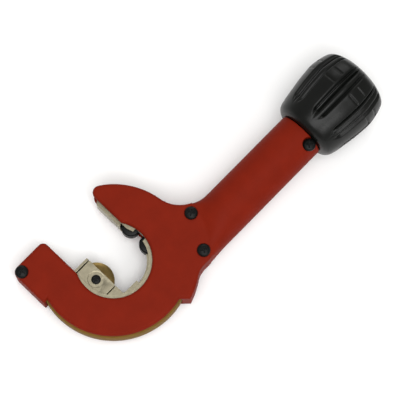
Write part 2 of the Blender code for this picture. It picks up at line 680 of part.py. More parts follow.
def make_selector():
    centre = (0, HANDLE_Y, 0)
    head_low, head_high = SPINDLE_HEAD_X
    groove = (CLIP_X - 0.8, CLIP_X + 0.8)
    profile = [(0.0, SPINDLE_END_X), (SPINDLE_R - 0.5, SPINDLE_END_X), (SPINDLE_R, SPINDLE_END_X - 0.5),
               (SPINDLE_R, groove[1]), (CLIP_GROOVE_R, groove[1]), (CLIP_GROOVE_R, groove[0]),
               (SPINDLE_R, groove[0]), (SPINDLE_R, head_high), (SPINDLE_HEAD_R, head_high),
               (SPINDLE_HEAD_R, head_low), (0.0, head_low)]
    spindle = turned("spindle", profile, "x", centre)
    y, z = plunger_centre()
    cut(spindle, bar("plunger_bore", PLUNGER_R + GAP, head_low - 1, PLUNGER_BORE_END_X, "x", (0, y, z), 16),
        bar("end_thread", END_SCREW_R + GAP, 131.5, 145, "x", centre, 16), cross_hole("spindle_hole"))
    finish("selector_spindle", spindle, TOOL_STEEL, centre)
    low, high = PLUNGER_X
    profile = [(0.0, high), (PLUNGER_R, high), (PLUNGER_R, low + 0.6), (PLUNGER_R - 0.6, low), (0.0, low)]
    finish("selector_plunger", turned("plunger", profile, "x", (0, y, z), 16), TOOL_STEEL, (low, y, z))
    start = (high + GAP, y, z)
    length = PLUNGER_BORE_END_X - 0.6 - start[0]
    finish("plunger_spring", coil("small_coil", 0.95, 0.2, 6, start, length), SPRING_STEEL, start)
    clip = prism("clip", [arc(CLIP_R[0], 30, 330, 20) + arc(CLIP_R[1], 330, 30, 16)], -CLIP_HALF, CLIP_HALF)
    clip.data.transform(shift(CLIP_X, HANDLE_Y, 0) @ AXES["x"])
    finish("spindle_clip", clip, SPRING_STEEL, centre)


def knob_radius(x):
    """Outer radius of the knob at a place along its length."""
    for (r0, x0), (r1, x1) in zip(KNOB_PROFILE, KNOB_PROFILE[1:]):
        if x0 <= x <= x1:
            return r0 + (r1 - r0) * (x - x0) / (x1 - x0)
    return KNOB_PROFILE[-1][0]


def flute_cutter(name):
    """Shallow trough that follows the knob's barrel, flattened across its width."""
    curve = bpy.data.curves.new(name, "CURVE")
    curve.dimensions = "3D"
    curve.bevel_depth = 1.2 * MM
    curve.bevel_resolution = 2
    curve.use_fill_caps = True
    spline = curve.splines.new("POLY")
    stations = [119.5, 123, 128, 134, 140, 145, 149, 152]
    spline.points.add(len(stations) - 1)
    for point, x in zip(spline.points, stations):
        lift = 1.0 if x in (stations[0], stations[-1]) else 0.4
        point.co = (x * MM, 0.0, (knob_radius(x) + lift) * MM, 1.0)
    mesh = evaluated_mesh(link(name + "_path", curve))
    mesh.transform(Matrix.Diagonal((1.0, 3.4, 1.0, 1.0)))
    return mesh


def make_knob():
    centre = (0, HANDLE_Y, 0)
    inner = [(9.3, 154.6), (9.3, 141.0), (KNOB_HUB_R + GAP, 141.0), (KNOB_HUB_R + GAP, 117.3), (9.9, 117.3),
             (9.9, KNOB_X)]
    outer = list(reversed(KNOB_PROFILE))
    grip = turned("grip", outer + list(reversed(inner)), "x", centre, 48, closed=True)
    flute = flute_cutter("flute")
    turns = [FLUTE_PHASE + 360 / FLUTES * index for index in range(FLUTES)]
    places = [shift(*centre) @ Matrix.Rotation(math.radians(-turn), 4, "X") for turn in turns]
    finish("knob_grip", cut(grip, group("flutes", flute, places)), BLACK_PLASTIC, centre)
    hub = tube("hub", KNOB_HUB_R, SPINDLE_R + GAP, 118.0, 139.0, "x", centre)
    finish("knob_hub", cut(hub, cross_hole("hub_hole")), BRASS, centre)
    pin = bar("cross_pin", CROSS_PIN_R, -7.4, 7.4, "z", (CROSS_PIN_X, HANDLE_Y, 0), 12)
    finish("knob_cross_pin", pin, TOOL_STEEL, centre)
    washer = tube("end_washer", 7.4, END_SCREW_R + GAP, 139.3, 140.3, "x", centre, 24)
    finish("knob_washer", washer, TOOL_STEEL, centre)
    profile = [(0.0, 144.0), (3.4, 144.0), (3.6, 143.7), (3.6, 140.6), (END_SCREW_R, 140.6),
               (END_SCREW_R, 132.0), (0.0, 132.0)]
    screw = turned("end_screw", profile, "x", centre, 24)
    hexagon = prism("hex_socket", [ring(1.8, 6)], 141.8, 146)
    hexagon.data.transform(shift(*centre) @ AXES["x"])
    finish("knob_screw", cut(screw, hexagon), BLACK_OXIDE, centre)
    profile = [(0.0, KNOB_END_X), (4.0, KNOB_END_X - 0.15), (7.0, KNOB_END_X - 0.6), (CAP_R, KNOB_END_X - 1.5),
               (CAP_R, 150.5), (0.0, 150.5)]
    finish("knob_end_cap", turned("cap", profile, "x", centre), BLACK_PLASTIC, centre)


make_housing()
make_rotor()
make_carriage()
make_pawl()
make_selector()
make_knob()
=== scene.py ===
"""Ratcheting pipe cutter: the looks.

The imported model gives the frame. Lengths below are in millimetres, measured from the rotor's axis and
from the head's middle plane, with +X along the handle, +Y out of the mouth and +Z out of the front face.
"""

import json
import math

import bmesh
import bpy
from mathutils import Matrix, Vector
from mathutils.geometry import tessellate_polygon

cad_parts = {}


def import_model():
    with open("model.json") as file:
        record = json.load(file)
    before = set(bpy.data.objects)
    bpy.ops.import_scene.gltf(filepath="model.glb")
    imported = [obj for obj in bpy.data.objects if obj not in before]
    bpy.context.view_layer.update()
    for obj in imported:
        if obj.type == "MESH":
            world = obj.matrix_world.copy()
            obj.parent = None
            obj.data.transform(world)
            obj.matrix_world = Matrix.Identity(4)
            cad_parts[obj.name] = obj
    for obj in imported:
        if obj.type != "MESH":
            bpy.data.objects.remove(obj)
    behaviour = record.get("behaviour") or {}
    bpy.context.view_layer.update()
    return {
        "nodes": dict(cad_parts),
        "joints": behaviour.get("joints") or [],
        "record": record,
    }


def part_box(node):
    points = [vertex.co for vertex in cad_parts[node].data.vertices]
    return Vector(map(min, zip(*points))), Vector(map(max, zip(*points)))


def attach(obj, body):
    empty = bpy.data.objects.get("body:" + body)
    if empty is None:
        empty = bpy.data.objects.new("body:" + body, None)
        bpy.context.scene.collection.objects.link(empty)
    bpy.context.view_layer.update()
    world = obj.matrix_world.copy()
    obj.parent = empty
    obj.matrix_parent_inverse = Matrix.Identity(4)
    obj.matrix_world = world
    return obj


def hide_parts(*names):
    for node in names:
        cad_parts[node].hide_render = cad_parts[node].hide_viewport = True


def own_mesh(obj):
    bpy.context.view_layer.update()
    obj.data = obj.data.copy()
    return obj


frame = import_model()

MM = 0.001
JOINTS = {joint["name"]: joint for joint in frame["joints"]}
SLOTS = {part["node"]: part["material_slot"] for part in frame["record"]["subparts"]}
BODY_NODES = frame["record"]["behaviour"]["bodies"]
BODIES = {node: body for body, nodes in BODY_NODES.items() for node in nodes}
ROTOR = Vector(JOINTS["rotor_turn"]["pos_m"])


def tool(point):
    """A world point in metres as millimetres in the tool's own axes."""
    return (Vector(point) - Vector((ROTOR.x, ROTOR.y, 0.0))) / MM


def world(x, y, z=0.0):
    """A point in the tool's axes as a world point in metres."""
    return ROTOR.x + x * MM, ROTOR.y + y * MM, z * MM


def node_box(node):
    low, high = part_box(node)
    return tool(low), tool(high)


# Sizes read from the frame
SHELL_LOW, SHELL_HIGH = node_box("front_shell")
RIM_LOW, RIM_HIGH = node_box("rotor_rim")
WHEEL_HIGH = node_box("cutting_wheel")[1]
KNOB_LOW = node_box("knob_grip")[0]
CAP_HIGH = node_box("knob_end_cap")[1]
HANDLE_Y = tool(JOINTS["selector_turn"]["pos_m"]).y
WHEEL_X = tool(JOINTS["cutting_wheel_spin"]["pos_m"]).x
PAWL_X = tool(JOINTS["pawl_rock"]["pos_m"]).x
HALF_THICKNESS = tool(frame["record"]["mounts"][1]["pos_m"]).z
HANDLE_R = SHELL_HIGH.z
RIM_R = -RIM_LOW.x

# Clearance between neighbouring pieces
GAP = 0.3

# Sizes of the housing that no box gives
PLATE = 2.5
CLAW_R = 38.39
LOWER_R = 37.9
OPENING_R = 19.1
JAW_INNER_X = -17.3
JAW_OUTER_X = SHELL_LOW.x
JAW_TOP_Y = 31.7
JAW_CORNER_R = 3.0
JAW_SHOULDER_Y = 9.5
CLAW_INNER_X = 16.0
CLAW_TIP_R = 3.6
NECK_R = 42.7
NECK_START = -73
NECK_FILLET_R = 17.0
NECK_FOOT_R = 12.0
EDGE_R = 1.7
PLATEAU_R = 48.2
RAMP_END_R = 60.0
HANDLE_START_X = 30.0
HANDLE_END_X = 112.0
SPIGOT_END_X = SHELL_HIGH.x
SPIGOT_R = 9.5
HEAD_SCREWS = [(-35.8, 28.0), (43.3, -11.3), (34.2, -28.8)]
HANDLE_SCREW = (109.0, -29.4)
SCREW_SEAT_Z = 8.2
SCREW_SEAT_R = 3.55
SCREW_HOLE_R = 2.05
INSERT_HOLE_R = 2.8
INSERT_DEPTH = 7.0
SELECTOR_BORE_R = 6.2
CAVITY_R = 9.8
CAVITY_X = (54, 106)
PASSAGE_R = 4.6
BUSHING_SEAT_R = 6.8
PIN_HOLE_R = 1.8
PIN_HOLE_Z = 7.4

# Moving pieces
AXLE_GROOVE_R = 3.9
AXLE_GROOVE_WIDTH = 0.45
AXLE_GROOVE_DEPTH = 0.3
RIM_INNER_R = 34.5
WHEEL_HUB_R = 4.0
ROTOR_MOUTH = [(-17.3, 0.0), (-17.3, 25.5), (-24.0, 34.5), (-24.0, 40.0),
               (30.0, 40.0), (24.5, 34.5), (14.4, 26.2), (14.4, 0.0)]

# Base colours, linear
RED = (0.160, 0.0105, 0.0030)
GOLD = (0.150, 0.082, 0.010)
NICKEL = (0.250, 0.225, 0.160)
STEEL = (0.20, 0.20, 0.20)
SPRING = (0.50, 0.50, 0.50)
BRONZE = (0.175, 0.12, 0.042)
BRASS = (0.60, 0.42, 0.16)
OXIDE = (0.0030, 0.0036, 0.0034)
OXIDE_WORN = (0.05, 0.05, 0.05)
PLASTIC = (0.0022, 0.0026, 0.0021)
PLASTIC_WORN = (0.012, 0.012, 0.011)

# Camera, in metres in the world
CAMERA_PLACE = (-0.17197, -0.17471, 1.07057)
CAMERA_BACK = (-0.15135, -0.15625, 0.97605)
CAMERA_UP = (0.70218, 0.67800, 0.21742)
CAMERA_LENS = 198.0


# ---------------------------------------------------------------- materials

class Surface:
    """A Principled material whose colour, roughness and bump come from procedural nodes."""

    def __init__(self, name, metallic=0.0, **sockets):
        self.material = bpy.data.materials.new(name)
        self.material.use_nodes = True
        self.nodes = self.material.node_tree.nodes
        self.links = self.material.node_tree.links
        self.shader = self.nodes["Principled BSDF"]
        self.shader.inputs["Metallic"].default_value = metallic
        for socket, value in sockets.items():
            self.shader.inputs[socket.replace("_", " ")].default_value = value
        self.place = self.nodes.new("ShaderNodeTexCoord").outputs["Object"]
        self.bump = None

    def noise(self, size, detail=3.0, stretch=(1.0, 1.0, 1.0)):
        """Noise whose grains are about this many millimetres across."""
        mapping = self.nodes.new("ShaderNodeMapping")
        mapping.inputs["Scale"].default_value = stretch
        texture = self.nodes.new("ShaderNodeTexNoise")
        texture.inputs["Scale"].default_value = 1.0 / (size * MM)
        texture.inputs["Detail"].default_value = detail
        self.links.new(self.place, mapping.inputs["Vector"])
        self.links.new(mapping.outputs["Vector"], texture.inputs["Vector"])
        return texture.outputs["Fac"]

    def rings(self, centre, size, axis="Z", distortion=1.0):
        """Turning marks round an axis through a point of the frame."""
        mapping = self.nodes.new("ShaderNodeMapping")
        mapping.inputs["Location"].default_value = -Vector(centre)
        texture = self.nodes.new("ShaderNodeTexWave")
        texture.wave_type = "RINGS"
        texture.rings_direction = axis
        texture.inputs["Scale"].default_value = 0.05 / (size * MM)
        texture.inputs["Distortion"].default_value = distortion
        self.links.new(self.place, mapping.inputs["Vector"])
        self.links.new(mapping.outputs["Vector"], texture.inputs["Vector"])
        return texture.outputs["Fac"]

    def ramp(self, factor, stops):
        node = self.nodes.new("ShaderNodeValToRGB")
        elements = node.color_ramp.elements
        for element, (position, colour) in zip(elements, (stops[0], stops[-1])):
            element.position = position
            element.color = (*colour, 1.0)
        for position, colour in stops[1:-1]:
            elements.new(position).color = (*colour, 1.0)
        self.links.new(factor, node.inputs["Fac"])
        return node.outputs["Color"]

    def colour(self, factor, stops):
        self.links.new(self.ramp(factor, stops), self.shader.inputs["Base Color"])
        return self

    def edges(self, radius):
        """1 along the sharp edges and 0 on the faces."""
        rounded = self.nodes.new("ShaderNodeBevel")
        rounded.samples = 4
        rounded.inputs["Radius"].default_value = radius * MM
        geometry = self.nodes.new("ShaderNodeNewGeometry")
        dot = self.nodes.new("ShaderNodeVectorMath")
        dot.operation = "DOT_PRODUCT"
        self.links.new(rounded.outputs["Normal"], dot.inputs[0])
        self.links.new(geometry.outputs["Normal"], dot.inputs[1])
        spread = self.nodes.new("ShaderNodeMapRange")
        spread.inputs["From Min"].default_value = 0.998
        spread.inputs["From Max"].default_value = 0.93
        self.links.new(dot.outputs["Value"], spread.inputs["Value"])
        return spread.outputs["Result"]

    def worn(self, factor, stops, edge, strength=0.5, radius=0.35):
        """Colour from a factor, with another colour showing through along the sharp edges."""
        patches = self.nodes.new("ShaderNodeMath")
        patches.operation = "MULTIPLY"
        self.links.new(self.edges(radius), patches.inputs[0])
        worn_through = self.ramp(self.noise(2.2), [(0.40, (0, 0, 0)), (0.62, (strength,) * 3)])
        self.links.new(worn_through, patches.inputs[1])
        mix = self.nodes.new("ShaderNodeMix")
        mix.data_type = "RGBA"
        self.links.new(patches.outputs["Value"], mix.inputs["Factor"])
        self.links.new(self.ramp(factor, stops), mix.inputs[6])
        mix.inputs[7].default_value = (*edge, 1.0)
        self.links.new(mix.outputs[2], self.shader.inputs["Base Color"])
        return self

    def rough(self, factor, low, high):
        spread = self.nodes.new("ShaderNodeMapRange")
        spread.inputs["To Min"].default_value = low
        spread.inputs["To Max"].default_value = high
        self.links.new(factor, spread.inputs["Value"])
        self.links.new(spread.outputs["Result"], self.shader.inputs["Roughness"])
        return self

    def relief(self, factor, height, strength=1.0):
        """Adds a bump of this height in millimetres on top of any earlier one."""
        bump = self.nodes.new("ShaderNodeBump")
        bump.inputs["Distance"].default_value = height * MM
        bump.inputs["Strength"].default_value = strength
        self.links.new(factor, bump.inputs["Height"])
        if self.bump:
            self.links.new(self.bump, bump.inputs["Normal"])
        self.bump = bump.outputs["Normal"]
        self.links.new(self.bump, self.shader.inputs["Normal"])
        return self


def shade(colour, amount):
    return tuple(channel * amount for channel in colour)


def red_paint():
    made = Surface("red_paint", IOR=1.45, Specular_IOR_Level=0.06)
    patchy = [(0.30, shade(RED, 0.93)), (0.70, shade(RED, 1.07))]
    made.worn(made.noise(9.0, 5.0), patchy, shade(RED, 1.5), 0.35)
    made.rough(made.noise(1.4, 4.0), 0.50, 0.64)
    return made.relief(made.noise(0.55, 2.0), 0.035).relief(made.noise(3.0, 2.0), 0.05).material


def metal(name, colour, low, high, grain, stretch=(1.0, 1.0, 1.0), height=0.01, metallic=1.0):
    """Plated or ground metal: roughness from low to high, and a grain and its height in millimetres."""
    made = Surface(name, metallic=metallic, Specular_IOR_Level=0.1)
    patchy = [(0.30, shade(colour, 0.84)), (0.72, shade(colour, 1.12))]
    made.worn(made.noise(grain * 6, 4.0, stretch), patchy, shade(colour, 1.4), 0.6)
    made.rough(made.noise(grain * 2, 3.0, stretch), low, high)
    return made.relief(made.noise(grain, 3.0, stretch), height).material


def turned_metal(name, colour, centre, low, high, pitch):
    """Metal with turning marks of a given pitch in millimetres."""
    made = Surface(name, metallic=1.0)
    patchy = [(0.30, shade(colour, 0.78)), (0.72, shade(colour, 1.12))]
    made.worn(made.noise(2.5, 5.0), patchy, shade(colour, 1.45), 0.5)
    made.rough(made.noise(0.8, 3.0), low, high)
    return made.relief(made.rings(centre, pitch), 0.012).relief(made.noise(0.3), 0.006).material


def black_oxide(name="black_oxide", low=0.32, high=0.5):
    made = Surface(name, metallic=0.0, Specular_IOR_Level=0.12)
    patchy = [(0.3, shade(OXIDE, 0.7)), (0.7, shade(OXIDE, 1.5))]
    made.worn(made.noise(1.2, 4.0), patchy, OXIDE_WORN, 0.4)
    made.rough(made.noise(0.7, 3.0), low, high)
    return made.relief(made.noise(0.25, 2.0), 0.008).material


def black_plastic():
    made = Surface("black_plastic", IOR=1.49, Specular_IOR_Level=0.20)
    patchy = [(0.3, shade(PLASTIC, 0.8)), (0.7, shade(PLASTIC, 1.3))]
    made.worn(made.noise(7.0, 4.0), patchy, PLASTIC_WORN, 0.4)
    made.rough(made.noise(1.6, 4.0), 0.26, 0.38)
    return made.relief(made.noise(0.30, 2.0), 0.012).material


def acetal():
    made = Surface("acetal")
    made.colour(made.noise(3.0, 3.0), [(0.3, (0.66, 0.64, 0.57)), (0.7, (0.78, 0.76, 0.70))])
    made.rough(made.noise(0.9), 0.4, 0.55)
    return made.relief(made.noise(0.4), 0.01).material


def pale_floor():
    made = Surface("pale_floor")
    made.colour(made.noise(60.0, 2.0), [(0.3, (0.90, 0.90, 0.90)), (0.7, (0.93, 0.93, 0.93))])
    made.rough(made.noise(8.0), 0.75, 0.9)
    return made.material


WHEEL_CENTRE = JOINTS["cutting_wheel_spin"]["pos_m"]
MATERIALS = {
    "red_paint": red_paint(),
    "gold_plating": metal("gold_plating", GOLD, 0.50, 0.65, 0.5, (1.0, 1.0, 3.0), 0.008, 0.0),
    "nickel_plating": metal("nickel_plating", NICKEL, 0.32, 0.48, 0.45, height=0.014),
    "tool_steel": metal("tool_steel", STEEL, 0.28, 0.42, 0.3, (1.0, 1.0, 4.0)),
    "blackened_steel": black_oxide("blackened_steel", 0.26, 0.42),
    "black_oxide": black_oxide(),
    "bronze_coating": turned_metal("bronze_coating", BRONZE, WHEEL_CENTRE, 0.28, 0.42, 0.35),
    "brass": metal("brass", BRASS, 0.25, 0.4, 0.3),
    "black_plastic": black_plastic(),
    "spring_steel": metal("spring_steel", SPRING, 0.22, 0.36, 0.25),
    "acetal": acetal(),
}


# ---------------------------------------------------------------- outlines

def at_angle(radius, degrees, centre=(0.0, 0.0)):
    turn = math.radians(degrees)
    return centre[0] + radius * math.cos(turn), centre[1] + radius * math.sin(turn)


def arc(radius, start, end, steps, centre=(0.0, 0.0)):
    """Points from one angle to another, both ends included."""
    return [at_angle(radius, start + (end - start) * step / steps, centre) for step in range(steps + 1)]


def claw_tip():
    x = CLAW_INNER_X + CLAW_TIP_R
    return x, math.sqrt((CLAW_R - CLAW_TIP_R) ** 2 - x ** 2)


def neck_fillet():
    """Middle of the hollow curve from the handle's upper edge up to the claw."""
    y = HANDLE_Y + HANDLE_R + NECK_FILLET_R
    return math.sqrt((CLAW_R + NECK_FILLET_R) ** 2 - y ** 2), y


def head_outline():
    """Outer edge of a housing half, anticlockwise from the foot of the left jaw."""
    tip = claw_tip()
    fillet = neck_fillet()
    fillet_angle = math.degrees(math.atan2(fillet[1], fillet[0]))
    tip_angle = math.degrees(math.atan2(tip[1], tip[0]))
    corner = (JAW_INNER_X - JAW_CORNER_R, JAW_TOP_Y - JAW_CORNER_R)
    outer = (HEAD_SCREWS[0][0] + 0.2, HEAD_SCREWS[0][1] + 0.1)
    outer_r = outer[0] - JAW_OUTER_X
    shoulder = math.degrees(math.asin(JAW_SHOULDER_Y / LOWER_R))
    lower_y = HANDLE_Y - HANDLE_R
    foot_y = lower_y - NECK_FOOT_R
    foot = (math.sqrt((NECK_R + NECK_FOOT_R) ** 2 - foot_y ** 2), foot_y)
    neck_end = math.degrees(math.atan2(foot[1], foot[0]))
    jaw_foot = math.degrees(math.acos(JAW_INNER_X / OPENING_R))
    claw_foot = math.degrees(math.acos(CLAW_INNER_X / OPENING_R))
    plateau_low = math.degrees(math.asin(lower_y / PLATEAU_R))
    reach = math.hypot(*fillet)
    opening = (reach ** 2 + NECK_FILLET_R ** 2 - PLATEAU_R ** 2) / (2 * reach * NECK_FILLET_R)
    fillet_end = 180 + fillet_angle + math.degrees(math.acos(opening))
    crossing = at_angle(NECK_FILLET_R, fillet_end, fillet)
    plateau_high = math.degrees(math.atan2(crossing[1], crossing[0]))
    points = arc(JAW_CORNER_R, 0, 90, 10, corner)
    points += arc(outer_r, 90, 180, 10, outer)
    points += [(JAW_OUTER_X, JAW_SHOULDER_Y)]
    points += arc(LOWER_R, 180 - shoulder, 283, 70)
    points += arc(NECK_R, NECK_START, neck_end, 10)
    points += arc(NECK_FOOT_R, 180 + neck_end, 90, 12, foot)[1:]
    points += arc(PLATEAU_R, plateau_low, plateau_high, 14)
    points += arc(NECK_FILLET_R, fillet_end, 180 + fillet_angle, 20, fillet)[1:]
    points += arc(CLAW_R, fillet_angle + 1, tip_angle, 32)
    points += arc(CLAW_TIP_R, tip_angle + 8, 180, 14, tip)
    points += arc(OPENING_R, claw_foot, jaw_foot - 360, 90)
    return points


def smooth_step(value):
    value = min(max(value, 0.0), 1.0)
    return value * value * (3.0 - 2.0 * value)


# ---------------------------------------------------------------- solids

SCENE = bpy.context.scene.collection


def link(name, mesh):
    obj = bpy.data.objects.new(name, mesh)
    SCENE.objects.link(obj)
    return obj


def evaluated_mesh(obj):
    """The object's shape in the tool's axes, with its modifiers applied; the object is removed."""
    bpy.context.view_layer.update()
    graph = bpy.context.evaluated_depsgraph_get()
    mesh = bpy.data.meshes.new_from_object(obj.evaluated_get(graph))
    mesh.transform(obj.matrix_world)
    bpy.data.objects.remove(obj)
    shape = bmesh.new()
    shape.from_mesh(mesh)
    bmesh.ops.remove_doubles(shape, verts=shape.verts, dist=1e-6)
    shape.to_mesh(mesh)
    shape.free()
    return mesh


def prism(name, loops, low, high):
    """Flat outline, with any further loops as holes, between two heights."""
    curve = bpy.data.curves.new(name, "CURVE")
    curve.dimensions = "2D"
    curve.fill_mode = "BOTH"
    curve.extrude = (high - low) / 2 * MM
    for loop in loops:
        spline = curve.splines.new("POLY")
        spline.points.add(len(loop) - 1)
        for point, (x, y) in zip(spline.points, loop):
            point.co = (x * MM, y * MM, 0.0, 1.0)
        spline.use_cyclic_u = True
    drawn = link(name + "_outline", curve)
    drawn.location.z = (high + low) / 2 * MM
    return link(name, evaluated_mesh(drawn))


def inset(outline, amount):
    """An anticlockwise outline with every edge moved inwards."""
    moved = []
    for before, here, after in zip(outline[-1:] + outline[:-1], outline, outline[1:] + outline[:1]):
        first = (Vector(here) - Vector(before)).normalized()
        second = (Vector(after) - Vector(here)).normalized()
        normal = Vector((-first.y - second.y, first.x + second.x))
        moved.append(Vector(here) + normal * (2.0 * amount / max(normal.length_squared, 1.0)))
    return moved


def rounded_prism(name, outline, low, high, edge, steps=4):
    """Flat outline between two heights, with the rim at the second height rounded."""
    side = 1 if high > low else -1
    levels = [(0.0, low)]
    for step in range(steps + 1):
        turn = math.pi / 2 * step / steps
        levels.append((edge * (1 - math.cos(turn)), high - side * edge * (1 - math.sin(turn))))
    mesh = bpy.data.meshes.new(name)
    shape = bmesh.new()
    loops = []
    for amount, height in levels:
        points = inset(outline, amount)
        loops.append([shape.verts.new((x * MM, y * MM, height * MM)) for x, y in points])
    count = len(outline)
    for near, far in zip(loops, loops[1:]):
        for step in range(count):
            after = (step + 1) % count
            shape.faces.new((near[step], near[after], far[after], far[step]))
    for loop, upwards in ((loops[0], -1), (loops[-1], 1)):
        for corners in tessellate_polygon([[Vector((*vert.co.xy, 0.0)) for vert in loop]]):
            face = shape.faces.new([loop[corner] for corner in corners])
            face.normal_update()
            if face.normal.z * upwards < 0:
                face.normal_flip()
    if side < 0:
        bmesh.ops.reverse_faces(shape, faces=shape.faces)
    shape.to_mesh(mesh)
    shape.free()
    return link(name, mesh)


AXES = {
    "x": Matrix.Rotation(math.radians(90), 4, "Y"),
    "y": Matrix.Rotation(math.radians(-90), 4, "X"),
    "z": Matrix.Identity(4),
}


def shift(x, y, z):
    return Matrix.Translation(Vector((x, y, z)) * MM)


def turned(name, profile, axis="z", at=(0.0, 0.0, 0.0), steps=96, closed=False):
    """Profile of (radius, height) from the top down its outer side, turned about an axis through a point."""
    mesh = bpy.data.meshes.new(name)
    shape = bmesh.new()
    points = [shape.verts.new((radius * MM, 0.0, height * MM)) for radius, height in profile]
    for first, second in zip(points, points[1:]):
        shape.edges.new((first, second))
    if closed:
        shape.edges.new((points[-1], points[0]))
    shape.to_mesh(mesh)
    shape.free()
    drawn = link(name + "_profile", mesh)
    screw = drawn.modifiers.new("turn", "SCREW")
    screw.steps = steps
    screw.render_steps = steps
    screw.use_merge_vertices = True
    screw.merge_threshold = 1e-6
    made = link(name, evaluated_mesh(drawn))
    made.data.transform(shift(*at) @ AXES[axis])
    return made


def bar(name, radius, low, high, axis="z", at=(0.0, 0.0, 0.0), steps=64):
    mesh = bpy.data.meshes.new(name)
    shape = bmesh.new()
    bmesh.ops.create_cone(shape, cap_ends=True, segments=steps, radius1=radius * MM, radius2=radius * MM,
                          depth=(high - low) * MM)
    shape.to_mesh(mesh)
    shape.free()
    mesh.transform(shift(*at) @ AXES[axis] @ shift(0, 0, (high + low) / 2))
    return link(name, mesh)


def box(name, low, high):
    mesh = bpy.data.meshes.new(name)
    shape = bmesh.new()
    bmesh.ops.create_cube(shape, size=1.0)
    shape.to_mesh(mesh)
    shape.free()
    size = Vector(high) - Vector(low)
    mesh.transform(shift(*(Vector(high) + Vector(low)) / 2) @ Matrix.Diagonal((*(size * MM), 1.0)))
    return link(name, mesh)


def combined(name, target, operation, others):
    """The target after a Boolean with each of the others, which are used up."""
    for other in others:
        step = target.modifiers.new(other.name, "BOOLEAN")
        step.operation = operation
        step.object = other
        step.solver = "EXACT"
    mesh = evaluated_mesh(target)
    for other in others:
        bpy.data.objects.remove(other)
    return link(name, mesh)


def cut(name, target, *cutters):
    return combined(name, target, "DIFFERENCE", cutters)


def join(name, target, *pieces):
    return combined(name, target, "UNION", pieces)


def round_edges(obj, width, angle=30, segments=3):
    bevel = obj.modifiers.new("rounded edges", "BEVEL")
    bevel.width = width * MM
    bevel.segments = segments
    bevel.limit_method = "ANGLE"
    bevel.angle_limit = math.radians(angle)
    bevel.harden_normals = True
    return obj


def finish(name, obj, *nodes, world=False, smooth=35):
    """Names a piece, puts it in the frame and lets it stand for its CAD nodes."""
    if not world:
        obj.data.transform(Matrix.Translation((ROTOR.x, ROTOR.y, 0.0)))
    obj.name = name
    obj.data.name = name
    slot = SLOTS[nodes[0]]
    obj.data.materials.clear()
    obj.data.materials.append(MATERIALS[slot])
    for face in obj.data.polygons:
        face.material_index = 0
    obj.data.shade_smooth()
    obj.data.set_sharp_from_angle(angle=math.radians(smooth))
    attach(obj, BODIES[nodes[0]])
    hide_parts(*nodes)
    return obj


# ---------------------------------------------------------------- housing

def pawl_pocket():
    line = math.atan2(HANDLE_Y, PAWL_X)

    def from_pawl(along, across):
        return (PAWL_X - along * math.cos(line) - across * math.sin(line),
                HANDLE_Y - along * math.sin(line) + across * math.cos(line))

    edge = [(-5.0, 6.2), (5.0, 6.2), (7.5, 7.5), (7.5, 9.0), (12.0, 9.0)]
    points = edge + [(along, -across) for along, across in reversed(edge)]
    room = HALF_THICKNESS - PLATE
    return prism("pawl_room", [[from_pawl(*point) for point in points]], -room, room)


def handle_half(name, side):
    """Half of the round handle, whose section blends into the flat head over the ramp."""
    fillet = neck_fillet()
    lip = {HANDLE_END_X: 0.5, HANDLE_END_X - 0.15: 0.15}
    stations = [HANDLE_START_X + step * 0.75 for step in range(52)]
    stations += [stations[-1] + (HANDLE_END_X - 0.5 - stations[-1]) * step / 12 for step in range(1, 13)]
    stations += [HANDLE_END_X - 0.15, HANDLE_END_X]
    around = 48
    mesh = bpy.data.meshes.new(name)
    shape = bmesh.new()
    rows = []
    for x in stations:
        radius = HANDLE_R - lip.get(x, 0.0)
        radius -= 0.06 * (1.0 - smooth_step((x - 48.0) / 4.0))
        run = min(max(fillet[0] - x, 0.0), 12.0)
        widening = NECK_FILLET_R - math.sqrt(NECK_FILLET_R ** 2 - run ** 2)
        row = []
        for step in range(around + 1):
            turn = math.pi * step / around
            across = -math.cos(turn)
            y = HANDLE_Y + across * radius + (across + 1.0) / 2.0 * widening
            reach = math.hypot(x, y)
            ramp = min(max((reach - PLATEAU_R) / (RAMP_END_R - PLATEAU_R), 0.0), 1.0)
            blend = 1.0 - (1.0 - ramp) ** 2
            flat = (HALF_THICKNESS - 0.02) * (1.0 - abs(across) ** 8) ** 0.125
            round_height = math.sin(turn) * radius
            height = flat + (round_height - flat) * blend
            z = side * max(height, GAP / 2)
            row.append(shape.verts.new((x * MM, y * MM, z * MM)))
        rows.append(row)
    for near, far in zip(rows, rows[1:]):
        for column in range(around):
            shape.faces.new((near[column], near[column + 1], far[column + 1], far[column]))
        shape.faces.new((near[around], near[0], far[0], far[around]))
    shape.faces.new(rows[0])
    shape.faces.new(rows[-1])
    bmesh.ops.recalc_face_normals(shape, faces=shape.faces)
    shape.to_mesh(mesh)
    shape.free()
    return link(name, mesh)


